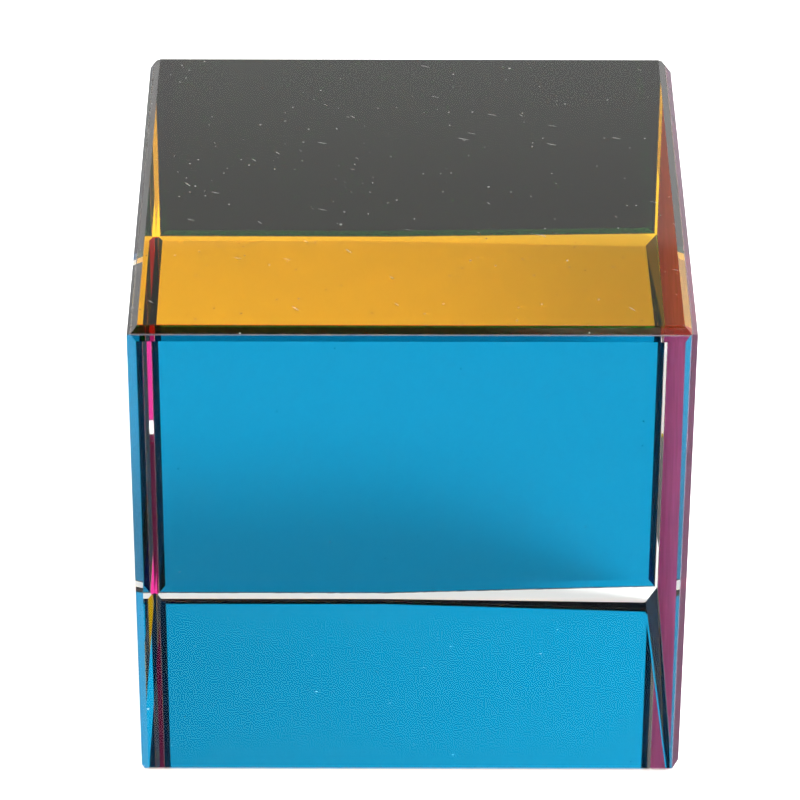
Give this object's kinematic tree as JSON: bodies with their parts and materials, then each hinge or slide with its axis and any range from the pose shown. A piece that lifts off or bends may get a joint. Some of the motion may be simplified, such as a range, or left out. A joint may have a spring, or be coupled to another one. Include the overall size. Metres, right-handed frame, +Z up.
{
  "type": "colour-mixing glass cube",
  "caption": "Solid clear glass cube with chamfered edges and dyed films under cover glass on three adjoining faces, so light inside it mixes yellow, magenta and cyan.",
  "frame": {"origin": "middle of the bottom face", "axes": "+Z up; the yellow face is +Z, the magenta face +X and the cyan face +Y; the clear faces are -Z, -X and -Y (front)"},
  "size_m": [0.05, 0.0492, 0.0491],
  "materials": {
    "clear_glass": "polished optical glass",
    "cover_glass": "polished thin cover glass",
    "clear_cement": "clear cured optical cement",
    "yellow_film": "transparent dyed film",
    "magenta_film": "transparent dyed film",
    "cyan_film": "transparent dyed film"
  },
  "bodies": {
    "root": {"core_block": "clear_glass", "top_cover_plate": "cover_glass", "right_cover_plate": "cover_glass", "back_cover_plate": "cover_glass", "top_colour_film": "yellow_film", "right_colour_film": "magenta_film", "back_colour_film": "cyan_film", "top_bond_layer": "clear_cement", "right_bond_layer": "clear_cement", "back_bond_layer": "clear_cement"}
  },
  "joints": []
}
